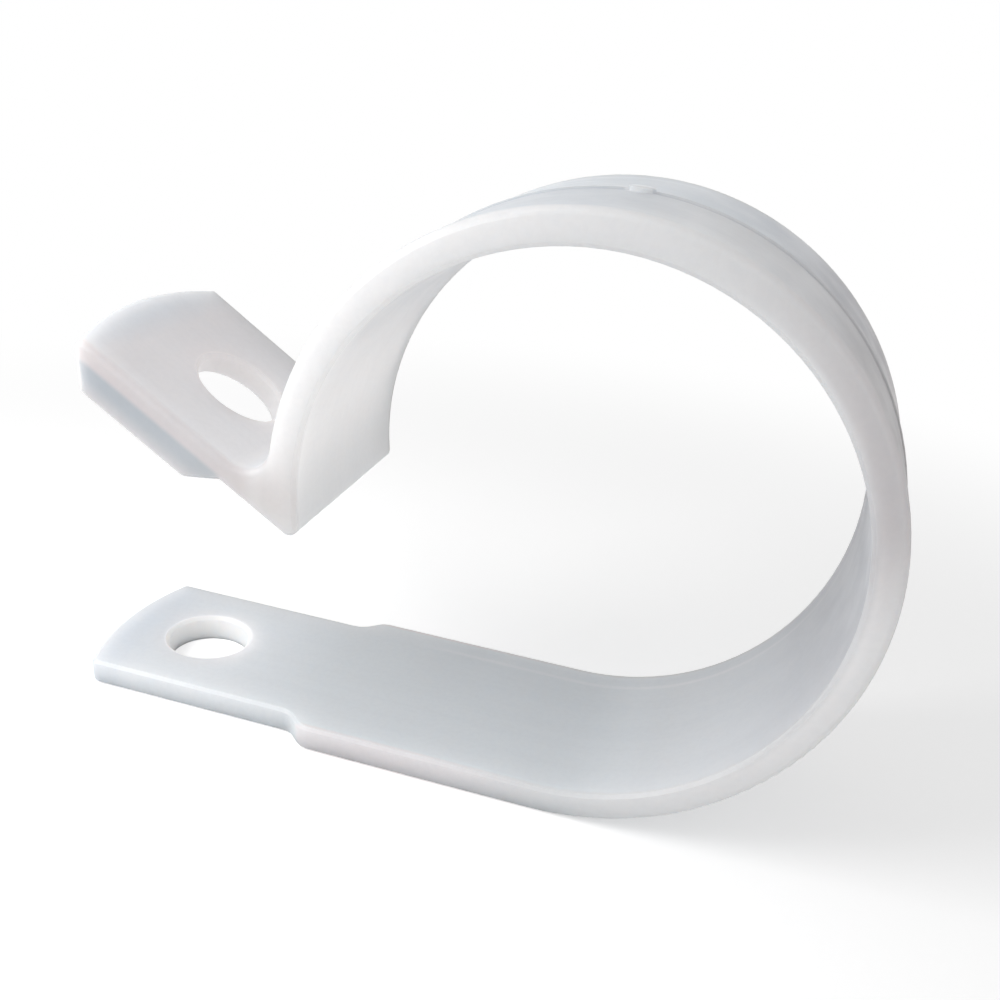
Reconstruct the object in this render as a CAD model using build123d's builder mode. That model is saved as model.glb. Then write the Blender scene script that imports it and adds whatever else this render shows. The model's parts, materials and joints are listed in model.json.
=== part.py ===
"""One-piece nylon cable clamp (P-clip), shown open as it leaves the mould.

A flat strap with a narrow tongue runs into a round loop. The loop ends at a pinch corner, where a
fixing tab turns away from it. When the loop is squeezed shut, the tongue seats between the tab's two
side skirts and one screw goes through both holes.

Frame: origin at the strap's screw hole, on the seating face. +X runs from the hole to the loop,
Y is the cable's direction and +Z is up.
"""
import os
from math import cos, radians, sin, sqrt

from build123d import *

# Driving dimensions, in millimetres and degrees
clamp_width = 12.7
wall = 1.55
loop_diameter = 26.8
hole_to_loop = 22.2
screw_hole = 4.7

# Strap and tongue
shoulder_start = 7.9
shoulder_step = 1.1
shoulder_round = 1.2
tongue_reach = 5.6
tongue_end_radius = 15.0

# Fixing tab, with lengths along it from the pinch corner
pinch_angle = 11.2
tab_tilt = 32.0
tab_wall = 1.15
tab_hole_reach = 8.2
tab_end_reach = 7.25
tab_end_radius = 23.0

# Side skirts under the tab
tongue_clearance = 0.15
skirt_depth = 1.3
channel_depth = 1.1
skirt_front = 3.1
skirt_slant = 1.6

# Rounded and broken edges
edge_round = 0.35
edge_break = 0.18
pinch_round = 0.5
tab_root_round = 1.4
hole_bevel = 0.2

# Marks that the mould leaves on the loop
parting_width = 0.5
parting_height = 0.08
parting_from = -60.0
parting_to = 140.0
gate_angle = 89.5
gate_diameter = 1.2
gate_height = 0.1

# Worked out from the driving dimensions
half_width = clamp_width / 2
half_tongue = half_width - shoulder_step
corner_round = 1.25 * edge_round
loop_radius = loop_diameter / 2
outer_radius = loop_radius + wall
middle_radius = loop_radius + wall / 2
loop_centre = Vector(hole_to_loop, 0, wall + loop_radius)
tab_tip = tab_hole_reach + tab_end_reach
skirt_near = tab_hole_reach - skirt_front
plate = tab_wall + skirt_depth - channel_depth


def direction(angle):
    """Unit vector in the side view, turned up from +X."""
    return Vector(cos(radians(angle)), 0, sin(radians(angle)))


def arc_drop(radius, half_chord):
    """How far an arc's ends lie back from its tip."""
    return radius - sqrt(radius**2 - half_chord**2)


pinch = loop_centre + direction(180 + pinch_angle) * loop_radius
along_tab = direction(180 - tab_tilt)
up_from_tab = direction(90 - tab_tilt)


def tab_reach(radius, height):
    """How far along the tab a line at this height leaves a circle about the loop's centre."""
    start = pinch + up_from_tab * height - loop_centre
    ahead = start.dot(along_tab)
    return sqrt(ahead**2 + radius**2 - start.dot(start)) - ahead


tab_side = Plane(origin=pinch, x_dir=along_tab, z_dir=(0, 1, 0))
tab_under = Plane(origin=pinch, x_dir=along_tab, z_dir=up_from_tab)
root = pinch + up_from_tab * tab_wall + along_tab * tab_reach(outer_radius, tab_wall)
tip = pinch + up_from_tab * tab_wall + along_tab * tab_tip
skirt_corner = pinch - up_from_tab * skirt_depth + along_tab * (skirt_near + skirt_slant)
tongue_corner = arc_drop(tongue_end_radius, half_tongue) - tongue_reach
tab_corner = arc_drop(tab_end_radius, half_width) + tip.X

with BuildPart() as clamp:
    # Loop: a ring with the mouth taken out, from the strap round to the tab's underside
    with BuildSketch(Plane.XZ) as ring:
        with Locations((loop_centre.X, loop_centre.Z)):
            Circle(outer_radius)
            Circle(loop_radius, mode=Mode.SUBTRACT)
        with BuildLine():
            mouth = pinch + along_tab * outer_radius
            Polyline(
                (pinch.X, pinch.Z),
                (mouth.X, mouth.Z),
                (mouth.X, -wall),
                (loop_centre.X, -wall),
                (loop_centre.X, loop_centre.Z),
                close=True,
            )
        make_face(mode=Mode.SUBTRACT)
    extrude(amount=half_width, both=True)

    # Strap: full width beside the loop, then a shoulder down to the round-ended tongue
    with BuildSketch(Plane.XY) as strap_plan:
        with BuildLine():
            Polyline(
                (tongue_corner, -half_tongue),
                (shoulder_start, -half_tongue),
                (shoulder_start + shoulder_step, -half_width),
                (loop_centre.X, -half_width),
                (loop_centre.X, half_width),
                (shoulder_start + shoulder_step, half_width),
                (shoulder_start, half_tongue),
                (tongue_corner, half_tongue),
            )
            ThreePointArc((tongue_corner, half_tongue), (-tongue_reach, 0), (tongue_corner, -half_tongue))
        make_face()
        fillet(strap_plan.vertices().group_by(Axis.X)[0], corner_round)
        fillet(strap_plan.vertices().group_by(Axis.X)[-3:-1], shoulder_round)
    extrude(amount=wall)

    # Tab: a plate that leaves the loop at a slant and grows deeper, still solid from side to side
    with BuildSketch(tab_side) as tab_profile:
        with BuildLine():
            Polyline(
                (tab_reach(middle_radius, 0), 0),
                (skirt_near, 0),
                (skirt_near + skirt_slant, -skirt_depth),
                (tab_tip + wall, -skirt_depth),
                (tab_tip + wall, tab_wall),
                (tab_reach(middle_radius, tab_wall), tab_wall),
                close=True,
            )
        make_face()
    extrude(amount=half_width, both=True)

    # Tab end: a shallow arc seen from above, cut straight down
    with BuildSketch(Plane.XY.offset(tip.Z + wall)) as tab_end:
        with BuildLine():
            ThreePointArc((tab_corner, half_width), (tip.X, 0), (tab_corner, -half_width))
            Polyline(
                (tab_corner, -half_width),
                (tip.X - half_width, -half_width),
                (tip.X - half_width, half_width),
                (tab_corner, half_width),
            )
        make_face()
    extrude(amount=-tip.Z / 2, mode=Mode.SUBTRACT)

    # Channel that takes the tongue and leaves the two side skirts
    channel_roof = tab_under.offset(channel_depth - skirt_depth)
    with BuildSketch(channel_roof) as channel:
        with Locations((tab_tip, 0)):
            Rectangle(2 * (tab_tip - skirt_near), 2 * (half_tongue + tongue_clearance))
    extrude(amount=-2 * channel_depth, mode=Mode.SUBTRACT)

    # Edges that run across the clamp: the pinch corner, the tab's root and the skirts' front ends
    fillet(clamp.edges().filter_by(Axis.Y).sort_by_distance(pinch)[0], pinch_round)
    fillet(clamp.edges().filter_by(Axis.Y).sort_by_distance(root)[0], tab_root_round)
    fillet(clamp.edges().filter_by(Axis.Y).group_by(Edge.length)[0], corner_round)

    # Outer rims, rounded: under the strap, round the outside of the loop and over the tab
    flanks = clamp.faces().filter_by(Plane.XZ).group_by(lambda face: abs(face.center().Y))[-1]
    strap_under = clamp.faces().filter_by(Plane.XY).sort_by(Axis.Z)[0]
    tab_ends = clamp.edges().filter_by(GeomType.ELLIPSE).group_by(Axis.Z)
    loop_arcs = flanks.edges().filter_by(GeomType.CIRCLE).group_by(SortBy.RADIUS)
    outer_rims = loop_arcs[-1] + strap_under.edges() + tab_ends[-1]
    fillet(outer_rims.filter_by(Axis.Y, reverse=True), edge_round)

    # Inner rims, broken: over the strap, round the inside of the loop and under the skirts
    inner_rims = loop_arcs[-2] + flanks.edges().sort_by_distance(skirt_corner)[:2] + tab_ends[0]
    chamfer(inner_rims, edge_break)

    # Screw holes, with the rims that a screw or washer meets bevelled
    with BuildSketch(Plane.XY) as strap_hole:
        Circle(screw_hole / 2)
    extrude(amount=wall, mode=Mode.SUBTRACT)
    with BuildSketch(channel_roof) as tab_hole:
        with Locations((tab_hole_reach, 0)):
            Circle(screw_hole / 2)
    extrude(amount=plate, mode=Mode.SUBTRACT)
    circles = clamp.edges().filter_by(GeomType.CIRCLE)
    tab_hole_middle = pinch + along_tab * tab_hole_reach + up_from_tab * (tab_wall - plate / 2)
    hole_rims = circles.sort_by_distance((0, 0, wall))[:1] + circles.sort_by_distance(tab_hole_middle)[:2]
    chamfer(hole_rims, hole_bevel)

    # Parting line: a low ridge along the middle of the loop's outside
    parting_start = direction(parting_from)
    with BuildSketch(Plane(origin=loop_centre, x_dir=parting_start, z_dir=direction(parting_from + 90))):
        with BuildLine():
            parting_base = outer_radius - parting_height
            Polyline(
                (parting_base, -parting_width / 2),
                (outer_radius + parting_height, 0),
                (parting_base, parting_width / 2),
                close=True,
            )
        make_face()
    revolve(axis=Axis(loop_centre, (0, -1, 0)), revolution_arc=parting_to - parting_from)

    # Gate mark: the low round nub where the mould was filled, standing just clear of the parting line
    gate_foot = loop_centre + direction(gate_angle) * middle_radius
    gate_length = wall / 2 + parting_height + gate_height
    with BuildSketch(Plane(origin=gate_foot, z_dir=direction(gate_angle))) as gate:
        Circle(gate_diameter / 2)
    extrude(amount=gate_length)
    gate_top = gate_foot + direction(gate_angle) * gate_length
    chamfer(clamp.edges().filter_by(GeomType.CIRCLE).sort_by_distance(gate_top)[0], gate_height / 2)

os.makedirs("parts", exist_ok=True)
clamp.part.label = "cable_clamp"
export_step(clamp.part, "parts/cable_clamp.step")
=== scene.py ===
"""Looks of a natural nylon cable clamp, a P-clip, on a plain pale floor.

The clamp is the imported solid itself. This script gives it its milky, translucent nylon and sets up the
floor, the soft studio light and the camera. The nylon's places and lengths are in millimetres, in the
part's frame; all else is in metres.
"""
import json
from math import cos, pi, radians, sin

import bpy
from mathutils import Matrix, Vector


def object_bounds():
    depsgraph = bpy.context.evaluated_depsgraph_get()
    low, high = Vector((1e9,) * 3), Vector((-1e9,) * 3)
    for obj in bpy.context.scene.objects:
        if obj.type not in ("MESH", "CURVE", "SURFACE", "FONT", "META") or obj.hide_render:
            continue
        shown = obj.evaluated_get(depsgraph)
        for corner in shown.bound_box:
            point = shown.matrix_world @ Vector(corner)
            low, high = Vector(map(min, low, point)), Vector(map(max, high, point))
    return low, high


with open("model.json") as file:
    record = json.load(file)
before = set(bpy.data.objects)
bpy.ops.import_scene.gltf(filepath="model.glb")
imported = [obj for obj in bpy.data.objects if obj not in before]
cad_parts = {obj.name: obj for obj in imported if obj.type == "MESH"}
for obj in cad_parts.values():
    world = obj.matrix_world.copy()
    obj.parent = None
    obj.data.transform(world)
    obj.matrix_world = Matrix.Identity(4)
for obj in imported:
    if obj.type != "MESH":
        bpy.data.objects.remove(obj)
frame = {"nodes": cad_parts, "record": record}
cad_low, cad_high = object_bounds()

MM = 0.001
CLAMP = frame["nodes"]["cable_clamp"]
MOUNTS = {mount["name"]: mount for mount in frame["record"]["mounts"]}
LOOP_CENTRE = Vector(MOUNTS["cable_loop"]["pos_m"])

# Sizes in millimetres; the outer radius reaches to the top of the parting line's ridge
LOOP_RADIUS = MOUNTS["cable_loop"]["dims"]["r_mm"]
OUTER_RADIUS = (cad_high.x - LOOP_CENTRE.x) / MM
HALF_WIDTH = cad_high.y / MM
HOLE_RADIUS = MOUNTS["tab_hole"]["dims"]["r_mm"]
GATE = Vector((LOOP_CENTRE.x, 0, cad_high.z)) / MM
PINCH_TO_TAB_HOLE = 8.2
PINCH_BELOW_TAB_HOLE = 0.475

# Main lamp, in degrees from the front and above the floor
KEY_AZIMUTH = -60
KEY_ELEVATION = 31

# Sockets of a Mix node that mixes colours
MIX_SHARE, MIX_COLOUR, MIX_TINT, MIX_RESULT = 0, 6, 7, 2


def direction(azimuth, elevation):
    """Unit vector from the object to a lamp or camera; azimuth 0 is the front, positive to the right."""
    turn, rise = radians(azimuth), radians(elevation)
    return Vector((sin(turn) * cos(rise), -cos(turn) * cos(rise), sin(rise)))


class Nodes:
    """A short way to add shader nodes to one tree and link them."""

    def __init__(self, tree):
        tree.nodes.clear()
        self.tree = tree

    def add(self, kind, inputs=None, **settings):
        """New node, with its settings and with inputs given as values or as other nodes' outputs."""
        node = self.tree.nodes.new(kind)
        for name, value in settings.items():
            setattr(node, name, value)
        for name, value in (inputs or {}).items():
            if isinstance(value, bpy.types.NodeSocket):
                self.tree.links.new(value, node.inputs[name])
            else:
                node.inputs[name].default_value = value
        return node

    def math(self, operation, first, second=0.0):
        return self.add("ShaderNodeMath", {0: first, 1: second}, operation=operation).outputs["Value"]

    def times(self, first, *others):
        """Product of values."""
        for other in others:
            first = self.math("MULTIPLY", first, other)
        return first

    def rest(self, share):
        """What the share leaves of 1."""
        return self.math("SUBTRACT", 1.0, share)

    def vector(self, operation, first, second, output="Vector"):
        return self.add("ShaderNodeVectorMath", {0: first, 1: second}, operation=operation).outputs[output]

    def length(self, vector):
        return self.add("ShaderNodeVectorMath", {0: vector}, operation="LENGTH").outputs["Value"]

    def fade(self, value, start, end, low=0.0, high=1.0):
        """Smooth change from low to high while the value goes from start to end."""
        inputs = {"Value": value, "From Min": start, "From Max": end, "To Min": low, "To Max": high}
        return self.add("ShaderNodeMapRange", inputs, interpolation_type="SMOOTHSTEP").outputs["Result"]

    def noise(self, place, scale, detail=2.0):
        inputs = {"Vector": place, "Scale": scale, "Detail": detail}
        return self.add("ShaderNodeTexNoise", inputs).outputs["Fac"]

    def tinted(self, colour, tint, share):
        """The colour times the tint, as far as the share goes."""
        inputs = {MIX_SHARE: share, MIX_COLOUR: colour, MIX_TINT: (*tint, 1)}
        mix = self.add("ShaderNodeMix", inputs, data_type="RGBA", blend_type="MULTIPLY")
        return mix.outputs[MIX_RESULT]


class Places:
    """Where a point of the clamp lies, and its share from 0 to 1 in each region, as shader values."""

    def __init__(self, n):
        at = n.add("ShaderNodeTexCoord").outputs["Object"]
        self.point = n.vector("MULTIPLY", at, (1 / MM, 1 / MM, 1 / MM))
        across = n.add("ShaderNodeSeparateXYZ", {0: self.point}).outputs
        self.x, self.y, self.z = across["X"], across["Y"], across["Z"]
        self.side_view = n.vector("MULTIPLY", self.point, (1.0, 0.0, 1.0))

        self.find_loop(n)
        self.find_holes(n)
        self.find_regions(n)
        self.find_halves(n)

    def find_loop(self, n):
        """Place about the loop's centre, in the side view."""
        centre = Vector((LOOP_CENTRE.x, 0, LOOP_CENTRE.z)) / MM
        self.from_centre = n.vector("SUBTRACT", self.side_view, centre)
        self.radius = n.vector("DISTANCE", self.side_view, centre, "Value")

    def find_holes(self, n):
        """Distances from the two screw holes and the pinch corner, and the place along the tab."""
        tab_hole = Vector(MOUNTS["tab_hole"]["pos_m"]) / MM
        tab_up = Vector(MOUNTS["tab_hole"]["axis"])
        tab_out = Vector((-tab_up.z, 0, tab_up.x))
        from_hole = n.vector("SUBTRACT", self.point, tab_hole)
        self.tab_height = n.vector("DOT_PRODUCT", from_hole, tab_up, "Value")
        self.tab_along = n.vector("DOT_PRODUCT", from_hole, tab_out, "Value")
        self.from_tab_hole = n.length(n.vector("CROSS_PRODUCT", from_hole, tab_up))
        self.from_strap_hole = n.length(n.vector("MULTIPLY", self.point, (1.0, 1.0, 0.0)))
        pinch = tab_hole - tab_out * PINCH_TO_TAB_HOLE - tab_up * PINCH_BELOW_TAB_HOLE
        self.from_pinch = n.vector("DISTANCE", self.side_view, pinch, "Value")

    def find_regions(self, n):
        """Side faces, the loop's inner face, the tab and the strap."""
        aside = n.math("ABSOLUTE", self.y)
        self.side = n.fade(aside, HALF_WIDTH - 0.5, HALF_WIDTH - 0.1)
        self.not_side = n.rest(self.side)
        self.inside = n.fade(self.radius, LOOP_RADIUS + 0.5, LOOP_RADIUS + 0.1)
        off_loop = n.fade(self.radius, OUTER_RADIUS + 0.3, OUTER_RADIUS + 1.5)
        self.on_tab = n.times(off_loop, n.fade(self.z, 8.0, 10.0))
        self.on_strap = n.fade(self.z, 3.0, 2.0)
        self.loop_side = n.times(self.side, n.rest(off_loop))

    def find_halves(self, n):
        """The loop's outside, and its near and far half on each side of the parting line."""
        above_inside = n.fade(self.radius, OUTER_RADIUS - 0.5, OUTER_RADIUS - 0.2)
        below_tab = n.fade(self.radius, OUTER_RADIUS + 0.6, OUTER_RADIUS + 0.3)
        off_strap = n.math("MAXIMUM", n.fade(self.z, 2.5, 3.5), n.fade(self.x, 21.0, 23.0))
        self.outside = n.times(above_inside, below_tab, off_strap, self.not_side)
        self.far_half = n.times(self.outside, n.fade(self.y, -0.05, 0.25))
        self.near_half = n.times(self.outside, n.fade(self.y, 0.25, -0.05))


class Paint:
    """A colour that is tinted step by step."""

    def __init__(self, n, colour):
        self.n = n
        self.colour = colour

    def tint(self, tint, *shares):
        """Multiplies the colour by the tint, as far as the product of the shares goes."""
        self.colour = self.n.tinted(self.colour, tint, self.n.times(*shares))


def cloudy_base(n, p):
    """Cloudy base colour with fine specks and faint flow lines that run round the loop."""
    clouds = n.add("ShaderNodeValToRGB", {"Fac": n.noise(p.point, 0.13, 3.0)})
    dull, bright = clouds.color_ramp.elements
    dull.position, dull.color = 0.3, (0.712, 0.736, 0.766, 1)
    bright.position, bright.color = 0.7, (0.735, 0.757, 0.785, 1)
    paint = Paint(n, clouds.outputs["Color"])
    paint.tint((0.985, 0.985, 0.987), n.fade(n.noise(p.point, 3.2), 0.42, 0.62))
    flow = n.noise(n.vector("MULTIPLY", p.point, (0.06, 1.3, 0.06)), 1.0, 3.0)
    paint.tint((0.985, 0.986, 0.988), n.fade(flow, 0.45, 0.7))
    return paint


def paint_side_faces(n, p, paint):
    """Side faces look deep into the material, so they are whiter and lose the blue.

    Light spreads across the loop's side faces, so painted shade holds back the rim towards the main lamp
    and painted light raises the other rim.
    """
    paint.tint((1.08, 1.045, 1.02), p.side)

    # Painted shade and light: darker on the side-face rim towards the main lamp, lighter on the other rim
    to_lamp = direction(KEY_AZIMUTH, KEY_ELEVATION)
    to_lamp = Vector((to_lamp.x, 0, to_lamp.z)).normalized()
    facing = n.math("DIVIDE", n.vector("DOT_PRODUCT", p.from_centre, to_lamp, "Value"), p.radius)
    change = 0.13
    rims = {"From Min": LOOP_RADIUS, "From Max": OUTER_RADIUS, "To Min": change, "To Max": -change}
    rim = n.add("ShaderNodeMapRange", {"Value": p.radius, **rims}).outputs["Result"]
    level = n.math("ADD", n.times(facing, rim, p.loop_side), 1.0)
    paint.colour = n.vector("MULTIPLY", paint.colour, level)


def paint_corner(n, p, paint):
    """Painted light on the inner face by the thick end at the pinch corner, for light let through from the
    other side; the side faces there are darker, and the corner is warm.
    """
    # Painted light: the inner face by the pinch corner is brightened as if lit through the wall
    paint.tint((1.36, 1.30, 1.26), n.fade(p.from_pinch, 13.0, 3.0), p.inside, p.not_side)
    paint.tint((0.815, 0.80, 0.80), n.fade(p.from_pinch, 8.0, 2.0), p.side)
    paint.tint((1.0, 0.968, 0.948), n.fade(p.from_pinch, 7.0, 1.5))


def paint_hole(n, paint, from_hole, around, wall_painted_light):
    """Warm tint in and round a screw hole, and painted light that lifts the shade on its wall."""
    paint.tint((1.04, 1.0, 0.99), around, n.fade(from_hole, HOLE_RADIUS + 1.6, HOLE_RADIUS))
    # Painted light on the hole's wall, against the shade in the bore
    paint.tint(wall_painted_light, around, n.fade(from_hole, HOLE_RADIUS + 0.35, HOLE_RADIUS + 0.1))


def paint_strap(n, p, paint):
    """Strap: bluer on top, greyer at the tongue's end and faintly pink along its edges."""
    strap_top = n.times(p.on_strap, p.not_side, n.fade(p.x, 32.0, 26.0))
    paint.tint((1.06, 1.075, 1.085), strap_top)
    paint.tint((1.06, 1.055, 1.075), strap_top, n.fade(p.x, 9.0, 3.0))
    paint.tint((0.84, 0.865, 0.895), p.on_strap, n.fade(p.x, -1.5, -4.6))
    paint.tint((1.11, 0.975, 0.98), p.side, p.on_strap, n.fade(p.x, 24.0, 14.0))


def paint_tab(n, p, paint):
    """Tab: greyer and warmer than the strap, with a cool band along its round end.

    The skirts under it are thin, so the shade behind them shows through; it is painted shade, darkest along
    their upper border, and their lower rim has painted light.
    """
    paint.tint((0.71, 0.675, 0.68), p.on_tab, p.side)
    paint.tint((0.93, 0.885, 0.875), p.on_tab, p.not_side, n.fade(p.tab_along, 6.2, 4.2))
    paint.tint((0.78, 0.81, 0.84), p.on_tab, p.not_side, n.fade(p.tab_along, 4.2, 6.2))

    # Painted shade on the skirts, darkest at the top, and painted light along their lower rim
    under = n.times(p.on_tab, p.side, n.fade(p.tab_height, -0.05, -0.4))
    between_ends = n.times(n.fade(p.tab_along, 6.8, 4.6), n.fade(p.tab_along, -3.4, -2.6))
    paint.tint((0.69, 0.80, 0.86), under, between_ends, n.fade(p.tab_height, -1.65, -0.7, 0.45, 1.0))
    paint.tint((1.2, 1.18, 1.15), under, n.fade(p.tab_height, -1.5, -1.65))


def paint_right_side_shade(n, p, paint):
    """Painted shade: the loop's wall gets darker towards its right side, away from the main lamp."""
    low_side = n.times(p.side, n.fade(p.z, 20.0, 13.0))
    inner_face = n.times(p.inside, n.fade(p.x, 38.0, 30.0))
    elsewhere = n.rest(n.math("MAXIMUM", low_side, inner_face))
    # Painted shade on the loop's right side, away from the main lamp
    paint.tint((0.68, 0.67, 0.68), n.fade(p.x, 24.0, 36.0), n.fade(p.z, 2.0, 14.0, 0.45, 1.0), elsewhere)


def paint_inner_face(n, p, paint):
    """Inner face: painted shade that darkens it to the right, a strip of painted shade along the far edge and
    a fine painted highlight line by it.
    """
    strap_face = n.times(p.on_strap, n.fade(p.z, 1.3, 1.45))
    face = n.times(n.math("MAXIMUM", p.inside, strap_face), n.fade(p.x, 11.0, 16.0))
    # Painted shade strip and painted highlight line along the far edge of the inner face
    paint.tint((0.95, 0.96, 0.97), face, n.fade(p.y, 4.7, 5.5))
    from_line = n.math("ABSOLUTE", n.math("SUBTRACT", p.y, 4.75))
    paint.tint((1.07, 1.05, 1.05), face, n.fade(from_line, 0.25, 0.05))
    # Painted shade: the inner face darker to the right
    paint.tint((0.82, 0.83, 0.84), p.inside, n.fade(p.x, 26.0, 37.0))


def paint_outside(n, p, paint):
    """Outside of the loop: painted shade on top, more on the near half than the far half, painted shade on
    its right side, and a fine dark parting line between the halves, painted shade at the step there.
    """
    on_top = n.fade(p.z, 20.0, 26.0)
    # Painted shade on top: more on the near half than the far half
    paint.tint((0.91, 0.955, 1.0), p.far_half, on_top)
    paint.tint((0.79, 0.82, 0.85), p.near_half, on_top, n.fade(p.x, 27.0, 20.0))
    upper = n.fade(p.z, 4.0, 15.0)
    # Painted shade on the loop's right side, away from the main lamp
    paint.tint((0.78, 0.76, 0.75), p.near_half, upper, n.fade(p.x, 30.0, 36.0))
    paint.tint((0.80, 0.76, 0.75), p.far_half, upper, n.fade(p.x, 26.0, 35.0))
    # Parting line darkened as painted shade of the step there
    from_line = n.math("ABSOLUTE", n.math("ADD", p.y, 0.22))
    paint.tint((0.86, 0.87, 0.89), p.outside, n.fade(from_line, 0.16, 0.06))


def paint_gate(n, p, paint):
    """Gate mark: a whiter spot on top of the loop, with flow marks beside it on the far half, lightened as
    painted highlights.
    """
    paint.tint((1.24, 1.21, 1.18), n.fade(n.vector("DISTANCE", p.point, GATE, "Value"), 0.8, 0.55))
    streak_highlights = n.noise(n.vector("MULTIPLY", p.point, (0.11, 2.6, 0.11)), 1.0)
    on_top = n.times(n.fade(p.x, 27.0, 21.0), n.fade(p.z, 24.5, 28.5))
    # Painted highlights along the flow marks
    paint.tint((1.12, 1.11, 1.10), n.fade(streak_highlights, 0.5, 0.66), p.far_half, on_top)


def satin(n, p):
    """Roughness: uneven satin gloss, smoother on the far half of the loop's outside."""
    gloss = n.fade(n.noise(p.point, 0.42, 4.0), 0.3, 0.7, 0.34, 0.48)
    return n.math("SUBTRACT", gloss, n.times(p.far_half, 0.05))


def moulded_skin(n, p):
    """Normal of a slightly wavy face with a fine grain."""
    waves = {"Height": n.noise(p.point, 0.26), "Strength": 0.12, "Distance": 0.2 * MM}
    wavy = n.add("ShaderNodeBump", waves).outputs["Normal"]
    grain = {"Height": n.noise(p.point, 3.8), "Strength": 0.1, "Distance": 0.02 * MM}
    return n.add("ShaderNodeBump", {"Normal": wavy, **grain}).outputs["Normal"]


def light_depth(n, p):
    """How deep light goes, in metres: more at the thick corner and less at the strap's hole."""
    deep = n.fade(p.from_pinch, 14.0, 4.0, 5.0 * MM, 10.0 * MM)
    at_hole = n.times(p.on_strap, n.fade(p.from_strap_hole, HOLE_RADIUS + 0.6, HOLE_RADIUS + 0.1))
    return n.times(deep, n.fade(at_hole, 0.0, 1.0, 1.0, 0.25))


def nylon():
    """Milky natural nylon: cool where a wall is thin, whiter and a little pink where it is deep, with painted
    light and shade in its colour in places.
    """
    material = bpy.data.materials.new("nylon")
    material.use_nodes = True
    n = Nodes(material.node_tree)
    p = Places(n)

    paint = cloudy_base(n, p)
    paint_side_faces(n, p, paint)
    paint_corner(n, p, paint)
    # The last tint of each hole is painted light on its wall
    paint_hole(n, paint, p.from_tab_hole, p.on_tab, (1.16, 1.11, 1.08))
    paint_hole(n, paint, p.from_strap_hole, p.on_strap, (1.29, 1.26, 1.25))
    paint_strap(n, p, paint)
    paint_tab(n, p, paint)
    paint_right_side_shade(n, p, paint)
    paint_inner_face(n, p, paint)
    paint_outside(n, p, paint)
    paint_gate(n, p, paint)

    surface = n.add(
        "ShaderNodeBsdfPrincipled",
        {
            "Base Color": paint.colour,
            "Roughness": satin(n, p),
            "IOR": 1.53,
            "Specular IOR Level": 0.4,
            "Subsurface Weight": 1.0,
            "Subsurface Radius": (1.0, 0.9, 0.84),
            "Subsurface Scale": light_depth(n, p),
            "Normal": moulded_skin(n, p),
        },
    )
    n.add("ShaderNodeOutputMaterial", {"Surface": surface.outputs["BSDF"]})
    return material


def shade_smooth(piece, crease=radians(38)):
    """Smooth shading that keeps the true corners sharp."""
    bpy.context.view_layer.objects.active = piece
    piece.select_set(True)
    bpy.ops.object.shade_smooth_by_angle(angle=crease)
    piece.select_set(False)
    even = piece.modifiers.new("even_normals", "WEIGHTED_NORMAL")
    even.keep_sharp = True


def seen_directly(n):
    """1 for rays that show the background: from the camera, a gloss or a see-through surface."""
    rays = n.add("ShaderNodeLightPath").outputs
    first = n.math("MAXIMUM", rays["Is Camera Ray"], rays["Is Glossy Ray"])
    return n.math("MAXIMUM", first, rays["Is Transmission Ray"])


def floor_material():
    """Pale matt floor that reads as white, keeps the clamp's shadow and runs out into the white backdrop."""
    glow_level = 0.42
    clear_from, clear_to = 0.035, 0.09

    material = bpy.data.materials.new("floor")
    material.use_nodes = True
    n = Nodes(material.node_tree)
    seen = seen_directly(n)
    matt = n.add("ShaderNodeBsdfDiffuse", {"Color": (0.8, 0.8, 0.8, 1)})
    glow = n.add("ShaderNodeEmission", {"Strength": n.times(seen, glow_level)})
    near = n.add("ShaderNodeAddShader", {0: matt.outputs["BSDF"], 1: glow.outputs["Emission"]})
    white = n.add("ShaderNodeEmission", {"Strength": 1.0})
    place = n.add("ShaderNodeTexCoord").outputs["Object"]
    away = n.vector("DISTANCE", place, (LOOP_CENTRE.x, LOOP_CENTRE.y, 0), "Value")
    far = n.times(seen, n.fade(away, clear_from, clear_to))
    both = n.add("ShaderNodeMixShader", {0: far, 1: near.outputs["Shader"], 2: white.outputs["Emission"]})
    n.add("ShaderNodeOutputMaterial", {"Surface": both.outputs["Shader"]})
    return material


def add_floor():
    reach = 3.0
    corners = [(-reach, -reach, 0), (reach, -reach, 0), (reach, reach, 0), (-reach, reach, 0)]
    mesh = bpy.data.meshes.new("floor")
    mesh.from_pydata(corners, [], [(0, 1, 2, 3)])
    mesh.materials.append(floor_material())
    floor = bpy.data.objects.new("floor", mesh)
    floor.location.z = cad_low.z
    bpy.context.scene.collection.objects.link(floor)


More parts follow.
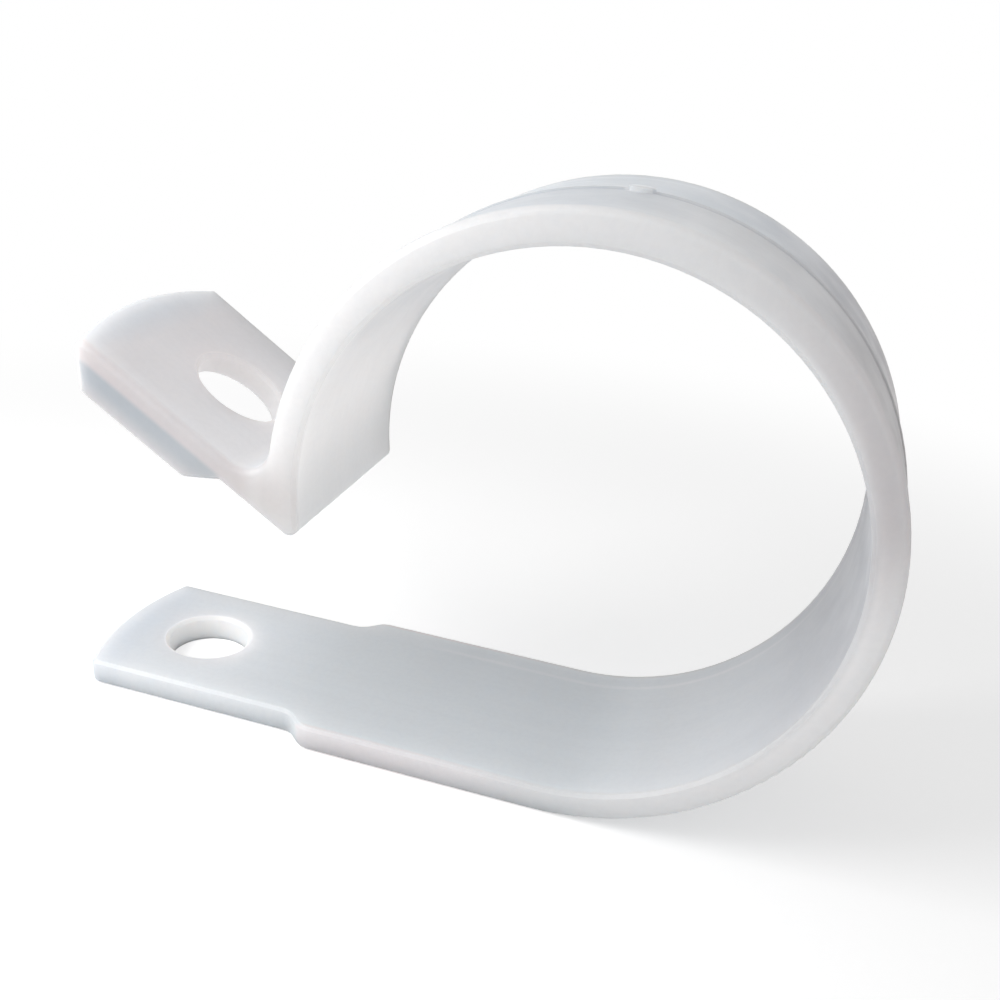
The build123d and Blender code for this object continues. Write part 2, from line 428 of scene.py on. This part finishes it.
def add_world():
    """Even white surroundings: plain white to look at, and a softer level as light."""
    as_light, as_seen = 0.45, 1.0
    world = bpy.data.worlds.new("studio")
    world.use_nodes = True
    bpy.context.scene.world = world
    n = Nodes(world.node_tree)
    levels = {"Value": seen_directly(n), "To Min": as_light, "To Max": as_seen}
    level = n.add("ShaderNodeMapRange", levels).outputs["Result"]
    sky = n.add("ShaderNodeBackground", {"Color": (1, 1, 1, 1), "Strength": level})
    n.add("ShaderNodeOutputWorld", {"Surface": sky.outputs["Background"]})


def add_lamp(name, azimuth, elevation, distance, size, level):
    """Square soft lamp that shines at the loop's centre; the level is what a white sheet there would show."""
    lamp = bpy.data.lights.new(name, "AREA")
    lamp.size = size
    lamp.energy = level * (pi * distance) ** 2
    holder = bpy.data.objects.new(name, lamp)
    away = direction(azimuth, elevation)
    holder.location = LOOP_CENTRE + away * distance
    holder.rotation_euler = away.to_track_quat("Z", "Y").to_euler()
    bpy.context.scene.collection.objects.link(holder)


def add_camera():
    """Camera at the photograph's viewing angle, placed about the loop's centre."""
    azimuth, elevation, roll = 13.12, 30.87, radians(6.46)
    distance, aside, above = 53.82 * MM, 4.63 * MM, 7.27 * MM
    sensor, lens_to_sensor, shift = 36.0, 1.0589, 0.15

    back = direction(azimuth, elevation)
    level_right = Vector((cos(radians(azimuth)), sin(radians(azimuth)), 0))
    level_up = back.cross(level_right)
    right = level_right * cos(roll) + level_up * sin(roll)
    up = level_up * cos(roll) - level_right * sin(roll)
    place = LOOP_CENTRE + back * distance - right * aside - up * above

    camera = bpy.data.cameras.new("camera")
    camera.sensor_width = sensor
    camera.lens = sensor * lens_to_sensor
    camera.shift_y = shift
    camera.clip_start = 1 * MM
    camera.clip_end = 100.0
    holder = bpy.data.objects.new("camera", camera)
    holder.matrix_world = Matrix.Translation(place) @ Matrix((right, up, back)).transposed().to_4x4()
    bpy.context.scene.collection.objects.link(holder)
    bpy.context.scene.camera = holder


CLAMP.data.materials.clear()
CLAMP.data.materials.append(nylon())
shade_smooth(CLAMP)

add_floor()
add_world()
add_lamp("key", KEY_AZIMUTH, KEY_ELEVATION, 0.075, 0.05, 0.70)
add_lamp("fill", 40, 6, 0.11, 0.06, 0.12)
add_camera()
bpy.context.scene.view_settings.view_transform = "Standard"
